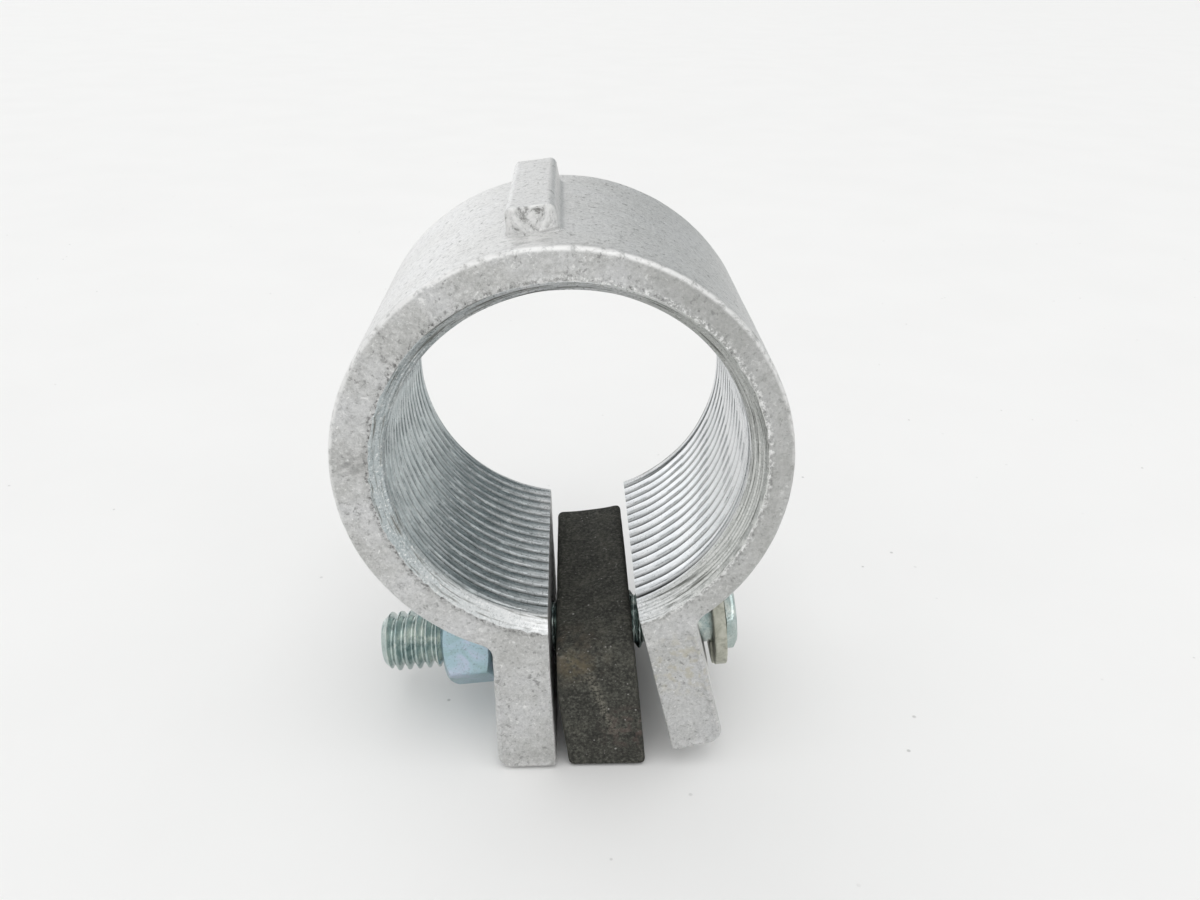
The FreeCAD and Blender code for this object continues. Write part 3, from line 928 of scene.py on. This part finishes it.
def casting_paint():
    """Galvanised casting: pale satin grey with a fine grain, pits, stains and bright worn edges, with
    painted light on the outer surfaces and painted shade on the right of the front face.
    """
    p = Paint("galvanised_casting")
    x, y, z = p.parts()
    from_bore = p.from_axis(x, z, 0.0)
    from_ring = p.from_axis(x, z, -RING_X)
    broad = p.noise(9.0, 4, 0.6)
    mottle = p.noise(1.3, 5, 0.7, 0.3)
    grain = p.noise(0.42, 5, 0.82)
    flecks = p.noise(0.8, 4, 0.7, 0.4)
    stops = [(0.3, (0.50, 0.505, 0.495)), (0.52, (0.60, 0.602, 0.592)), (0.72, (0.70, 0.70, 0.69))]
    p.tone = p.ramp(mottle, stops)
    p.coat((0.70, 0.705, 0.72), p.between(broad, 0.45, 0.66), 0.5)
    p.coat((0.42, 0.42, 0.405), p.between(broad, 0.50, 0.36), 0.3)
    # Painted light: the outer surfaces of the ring, behind the front edge, are lightened.
    outer_painted_light = p.times(p.between(y, FRONT_Y + 0.8, FRONT_Y + 1.8), p.between(from_bore, 27.0, 28.0))
    p.coat((0.88, 0.88, 0.87), outer_painted_light, 0.55)
    p.coat(p.mix(0.34, p.tone, (0.22, 0.22, 0.215)), p.between(grain, 0.50, 0.38))
    p.coat((0.88, 0.88, 0.87), p.between(grain, 0.54, 0.66), 0.5)
    p.coat((0.24, 0.24, 0.235), p.between(flecks, 0.42, 0.34), 0.7)
    p.coat((0.92, 0.92, 0.91), p.between(flecks, 0.60, 0.68), 0.7)
    pit = p.times(p.between(p.cells(1.5), 0.13, 0.07), p.between(p.noise(4.0), 0.5, 0.6))
    p.coat((0.2, 0.2, 0.195), pit, 0.7)
    tan = p.times(p.near((12.0, -19.6, -33.0), 2.0, 5.0), p.between(p.noise(1.3, 2), 0.5, 0.64))
    p.coat((0.47, 0.43, 0.30), tan, 0.5)
    smudge = p.times(p.near((-26.6, -19.6, 5.5), 0.6, 2.2), p.between(p.noise(0.9, 3), 0.4, 0.6))
    p.coat((0.14, 0.14, 0.14), smudge, 0.55)
    front = p.between(y, FRONT_Y + 1.4, FRONT_Y + 0.5)
    # Painted shade: the right part of the front face is darkened.
    right_painted_shade = p.times(front, p.between(x, 8.0, 26.0), 0.34)
    p.coat((0.36, 0.365, 0.35), right_painted_shade)
    # Painted shade: a darker patch at the top right of the front face.
    top_right_painted_shade = p.times(front, p.near((17.0, FRONT_Y, 19.0), 5.0, 9.0))
    p.coat((0.30, 0.305, 0.295), top_right_painted_shade, 0.28)
    ragged = p.noise(0.7, 4, 0.75)
    rim = p.times(front, p.between(from_bore, 26.3, 25.7))
    left_rim = p.times(rim, p.between(x, 6.0, -8.0))
    right_rim = p.times(rim, p.between(x, -10.0, 8.0))
    p.coat((0.19, 0.19, 0.185), left_rim, p.between(ragged, 0.50, 0.40))
    p.coat((0.24, 0.24, 0.235), right_rim, p.between(ragged, 0.44, 0.36))
    p.coat((0.93, 0.93, 0.92), right_rim, p.between(ragged, 0.50, 0.58))
    on_ring = p.between(from_ring, 30.6, 30.2)
    upper = p.between(p.plus(z, p.times(broad, 16.0)), 2.0, 16.0)
    worn = p.times(front, on_ring, p.between(from_ring, 28.95, 29.25))
    worn = p.times(worn, p.plus(p.times(upper, 0.75), 0.1))
    p.coat((0.9, 0.9, 0.89), worn, p.between(mottle, 0.36, 0.52))
    sheared = p.times(p.between(z, 29.4, 29.9), p.between(y, FRONT_Y + 7.6, FRONT_Y + 6.9))
    torn = p.noise(2.2, 6, 0.72, 0.6)
    p.coat((0.95, 0.95, 0.94), sheared, p.between(torn, 0.47, 0.60))
    p.coat((0.25, 0.25, 0.24), sheared, p.between(torn, 0.46, 0.38))
    rough = p.plus(p.times(p.between(grain, 0.2, 0.85), 0.2), 0.34)
    normal = p.bump(grain, 0.75, 0.13)
    normal = p.bump(flecks, 0.5, 0.16, normal)
    normal = p.bump(mottle, 0.5, 0.2, normal)
    normal = p.bump(p.math("SUBTRACT", 1.0, pit), 0.6, 0.14, normal)
    normal = p.bump(p.times(ragged, rim), 0.9, 0.3, normal)
    normal = p.bump(p.times(torn, sheared), 0.7, 0.6, normal)
    return p.finish(p.tone, rough, CASTING_METALLIC, normal)


def thread_paint():
    """Machined galvanised thread: brighter, with grime and painted shade low in the grooves, fine turning
    marks, and painted reflections: dark teal on the left side, bright on the right, dark and bright
    streaks on the left threads.
    """
    p = Paint("machined_thread")
    x, y, z = p.parts()
    groove = p.between(p.from_axis(x, z, 0.0), 23.56, 23.98)
    grain = p.noise(0.36, 4, 0.75)
    patch = p.noise(3.2, 4, 0.6, 0.6)
    stops = [(0.32, (0.56, 0.59, 0.60)), (0.5, (0.68, 0.70, 0.71)), (0.7, (0.78, 0.785, 0.785))]
    p.tone = p.ramp(patch, stops)
    p.coat(p.mix(0.55, p.tone, (0.2, 0.21, 0.21)), p.between(grain, 0.48, 0.35))
    # Painted reflection: the left side of the bore is tinted dark teal.
    left_painted_reflection = p.times(p.between(x, -4.0, -21.0), 0.55)
    p.coat((0.32, 0.39, 0.40), left_painted_reflection)
    # Painted light: the right side of the bore is brightened.
    right_painted_light = p.times(p.between(x, 2.0, 14.0), 0.6)
    p.coat((0.93, 0.94, 0.95), right_painted_light)
    mouth_edge = p.plus(p.times(p.between(x, -16.0, 16.0), 1.6), 1.6)
    from_end = p.math("SUBTRACT", BACK_Y, p.math("ABSOLUTE", y))
    inside = p.between(p.math("SUBTRACT", from_end, mouth_edge), 0.0, 0.5)
    # Grime and painted shade low in the groove roots inside the bore.
    p.coat((0.08, 0.085, 0.08), groove, inside, 0.9)
    # Painted reflections on the left threads: dark streaks and bright glint streaks.
    streak = p.noise(1.8, 5, 0.7, 0.2, p.scaled(p.place, (0.8, 3.6, 0.8)))
    dark_reflection_streak = p.times(inside, p.between(x, 2.0, -12.0), p.between(streak, 0.5, 0.40))
    p.coat((0.14, 0.17, 0.17), dark_reflection_streak, 0.42)
    glint = p.times(inside, p.between(x, 2.0, -12.0), p.between(streak, 0.54, 0.64))
    p.coat((0.78, 0.84, 0.84), glint, 0.5)
    mouth = p.math("SUBTRACT", 1.0, inside)
    olive = p.times(mouth, p.between(x, 4.0, 16.0))
    p.coat((0.50, 0.51, 0.45), olive, 0.5)
    p.coat((0.93, 0.93, 0.92), mouth, p.between(grain, 0.55, 0.66))
    whitened = p.times(mouth, p.between(z, -8.0, -16.0), p.between(x, 0.0, -5.0))
    p.coat((0.95, 0.95, 0.94), whitened, 0.4)
    turned = p.noise(1.0, 3, 0.7, 0.0, p.scaled(p.place, (0.12, 3.4, 0.12)))
    p.coat((0.20, 0.205, 0.19), mouth, p.between(turned, 0.47, 0.36))
    rough = p.plus(p.times(p.between(grain, 0.25, 0.8), 0.2), 0.22)
    normal = p.bump(grain, 0.45, 0.06)
    normal = p.bump(p.noise(1.5, 3), 0.25, 0.1, normal)
    metallic = p.plus(p.times(inside, 0.5), 0.42)
    return p.finish(p.tone, rough, metallic, normal)


def zinc_paint(name, low, middle, high, roughness):
    """Blue-clear zinc plate whose tint drifts over the surface."""
    p = Paint(name)
    drift = p.noise(3.4, 3, 0.6, 0.8)
    p.tone = p.ramp(drift, [(0.34, low), (0.5, middle), (0.66, high)], True)
    grain = p.noise(0.3, 3, 0.6)
    p.coat(p.mix(0.35, p.tone, (0.16, 0.18, 0.18)), p.between(grain, 0.46, 0.34))
    rough = p.plus(p.times(grain, 0.16), roughness - 0.08)
    normal = p.bump(grain, 0.35, 0.04)
    normal = p.bump(p.noise(1.8, 2), 0.25, 0.08, normal)
    return p.finish(p.tone, rough, ZINC_METALLIC, normal)


def washer_paint():
    """Worn zinc over spring steel, olive and tan."""
    p = Paint("washer_steel")
    patch = p.noise(1.3, 4, 0.65, 0.5)
    stops = [(0.34, (0.36, 0.36, 0.30)), (0.5, (0.50, 0.505, 0.43)), (0.68, (0.60, 0.60, 0.53))]
    p.tone = p.ramp(patch, stops)
    grain = p.noise(0.25, 3, 0.7)
    p.coat((0.70, 0.70, 0.65), p.between(grain, 0.60, 0.72))
    rough = p.plus(p.times(grain, 0.3), 0.36)
    normal = p.bump(patch, 0.5, 0.12)
    normal = p.bump(grain, 0.5, 0.06, normal)
    return p.finish(p.tone, rough, 0.85, normal)


def rubber_paint():
    """Dusty black rubber: pale specks, a brown stain and dust on the upper faces."""
    p = Paint("pad_rubber")
    cloud = p.noise(4.0, 5, 0.65, 0.3)
    stops = [(0.32, (0.026, 0.026, 0.021)), (0.52, (0.044, 0.044, 0.036)), (0.7, (0.074, 0.073, 0.058))]
    p.tone = p.ramp(cloud, stops)
    fine = p.noise(0.45, 4, 0.75)
    p.coat(p.mix(0.7, p.tone, (0.17, 0.17, 0.145)), p.between(fine, 0.50, 0.70))
    p.coat((0.012, 0.012, 0.010), p.between(fine, 0.46, 0.36))
    stain = p.times(p.near((-3.6, -18.2, -29.6), 1.0, 5.0), p.between(p.noise(1.8, 3), 0.4, 0.62))
    p.coat((0.105, 0.085, 0.062), stain, 0.75)
    x, y, z = p.parts()
    wander = p.times(p.noise(1.6, 3), 1.6)
    for slope, level, upper, lower, width in DUST_TRAILS:
        off = p.plus(p.plus(x, p.times(z, slope)), level)
        off = p.math("ABSOLUTE", p.plus(off, wander))
        here = p.times(p.between(z, upper, upper - 0.4), p.between(z, lower, lower + 1.0))
        here = p.times(here, p.between(y, -18.6, -18.9))
        dusty = p.times(here, p.between(off, width, 0.1), p.between(fine, 0.42, 0.58))
        p.coat((0.25, 0.235, 0.19), dusty, 0.5)
    warm = p.times(p.near((-3.6, -19.2, -31.0), 0.8, 2.6), p.between(p.noise(0.8, 3), 0.36, 0.56))
    p.coat((0.12, 0.10, 0.060), warm, 0.7)
    blush = p.times(p.near((3.0, -19.2, -44.0), 1.5, 4.0), p.between(p.noise(1.1, 3), 0.48, 0.62))
    p.coat((0.12, 0.085, 0.075), blush, 0.5)
    speck = p.times(p.between(p.cells(0.9), 0.16, 0.09), p.between(p.noise(2.6, 3), 0.46, 0.6))
    p.coat((0.26, 0.25, 0.235), speck)
    grit = p.between(p.cells(2.3), 0.085, 0.05)
    p.coat((0.40, 0.39, 0.37), grit, 0.8)
    normal = p.bump(fine, 0.6, 0.12)
    normal = p.bump(p.noise(1.4, 4), 0.5, 0.25, normal)
    normal = p.bump(speck, 0.5, 0.08, normal)
    return p.finish(p.tone, 0.78, 0.0, normal, 0.35)


def floor_paint():
    """Pale matt studio table."""
    p = Paint("studio_table")
    p.tone = p.ramp(p.noise(40, 3), [(0.3, (0.875, 0.875, 0.868)), (0.7, (0.89, 0.89, 0.883))])
    dust = p.times(p.between(p.cells(7.0), 0.055, 0.03), p.between(p.noise(16.0, 3), 0.52, 0.60))
    p.coat((0.35, 0.35, 0.34), dust, 0.5)
    return p.finish(p.tone, 0.9, 0.0, None, 0.1)


# ---------------------------------------------------------------- studio

FLOOR_NORMAL = Vector((0.13917, 0, 0.99027))
FLOOR_LEVEL = -50.42
FLOOR_REACH = 6000
SUN_TOWARDS = Vector((0.16, -0.30, 0.9))
SUN_STRENGTH = 0.58
SUN_SOFTNESS = math.radians(45)
CAMERA_LENS = 29.418
CAMERA_PLACE = Vector((7.605, -128.671, 59.439))
CAMERA_FORWARD = Vector((-0.02767, 0.88791, -0.45918)).normalized()
CAMERA_UP = Vector((0.12366, 0.45887, 0.87986))
WORLD_STRENGTH = 0.86
WORLD_LOW, WORLD_HIGH, WORLD_HIGH_FROM = (0.80, 0.81, 0.81), (1.05, 1.05, 1.05), 0.5
WORLD_PATCHES = (
    ((0.46, 0.87, 0.16), 12, 34, (0.07, 0.11, 0.12)),
    ((-0.46, 0.88, 0.12), 6, 30, (1.7, 1.72, 1.75)),
)


def make_floor():
    """A wide table under the lower ear and the pad."""
    along = Vector((FLOOR_NORMAL.z, 0, -FLOOR_NORMAL.x))
    across = Vector((0, 1, 0))
    middle = FLOOR_NORMAL * FLOOR_LEVEL
    corners = ((-1, -1), (1, -1), (1, 1), (-1, 1))
    points = [middle + along * a * FLOOR_REACH + across * b * FLOOR_REACH for a, b in corners]
    floor = new_object("table", [tuple(point) for point in points], [(0, 1, 2, 3)], [floor_paint()])


def make_world():
    """Soft pale surroundings with a dark patch and a bright one low down behind."""
    world = bpy.data.worlds.new("studio")
    bpy.context.scene.world = world
    world.use_nodes = True
    tree = world.node_tree
    background = tree.nodes["Background"]
    coordinate = tree.nodes.new("ShaderNodeTexCoord")
    split = tree.nodes.new("ShaderNodeSeparateXYZ")
    tree.links.new(coordinate.outputs["Generated"], split.inputs[0])
    ramp = tree.nodes.new("ShaderNodeValToRGB")
    low, high = ramp.color_ramp.elements
    low.color = (*WORLD_LOW, 1)
    high.color = (*WORLD_HIGH, 1)
    high.position = WORLD_HIGH_FROM
    tree.links.new(split.outputs["Z"], ramp.inputs["Fac"])
    colour = ramp.outputs["Color"]
    for towards, near, far, tint in WORLD_PATCHES:
        dot = tree.nodes.new("ShaderNodeVectorMath")
        dot.operation = "DOT_PRODUCT"
        tree.links.new(coordinate.outputs["Generated"], dot.inputs[0])
        dot.inputs[1].default_value = Vector(towards).normalized()
        fall = tree.nodes.new("ShaderNodeMapRange")
        fall.interpolation_type = "SMOOTHSTEP"
        fall.inputs["From Min"].default_value = math.cos(math.radians(far))
        fall.inputs["From Max"].default_value = math.cos(math.radians(near))
        tree.links.new(dot.outputs["Value"], fall.inputs["Value"])
        mix = tree.nodes.new("ShaderNodeMix")
        mix.data_type = "RGBA"
        tree.links.new(fall.outputs["Result"], mix.inputs["Factor"])
        tree.links.new(colour, mix.inputs["A"])
        mix.inputs["B"].default_value = (*tint, 1)
        colour = mix.outputs["Result"]
    tree.links.new(colour, background.inputs["Color"])
    background.inputs["Strength"].default_value = WORLD_STRENGTH


def make_sun():
    """Even soft light from above and in front."""
    data = bpy.data.lights.new("key", "SUN")
    data.energy = SUN_STRENGTH
    data.angle = SUN_SOFTNESS
    lamp = bpy.data.objects.new("key", data)
    lamp.rotation_euler = (-SUN_TOWARDS).to_track_quat("-Z", "Y").to_euler()
    bpy.context.scene.collection.objects.link(lamp)


def make_camera():
    """The camera the picture is taken with."""
    data = bpy.data.cameras.new("camera")
    data.lens = CAMERA_LENS
    data.sensor_width = 36
    data.clip_start = 0.005
    camera = bpy.data.objects.new("camera", data)
    right = CAMERA_FORWARD.cross(CAMERA_UP).normalized()
    turn = Matrix((right, right.cross(CAMERA_FORWARD), -CAMERA_FORWARD)).transposed().to_4x4()
    camera.matrix_world = Matrix.Translation(CAMERA_PLACE * MM) @ turn
    bpy.context.scene.collection.objects.link(camera)
    bpy.context.scene.camera = camera


casting_material = casting_paint()
thread_material = thread_paint()
bolt_material = zinc_paint("bolt_zinc", (0.30, 0.39, 0.385), (0.48, 0.56, 0.54), (0.64, 0.69, 0.65), 0.22)
nut_material = zinc_paint("nut_zinc", (0.37, 0.52, 0.55), (0.43, 0.58, 0.65), (0.52, 0.60, 0.72), 0.30)

make_casting([casting_material, thread_material])
make_bolt([bolt_material])
make_nut([nut_material])
make_washer([washer_paint()])
make_pad([rubber_paint()])
make_floor()
make_world()
make_sun()
make_camera()

scene = bpy.context.scene
scene.view_settings.view_transform = "Standard"
scene.view_settings.look = "None"
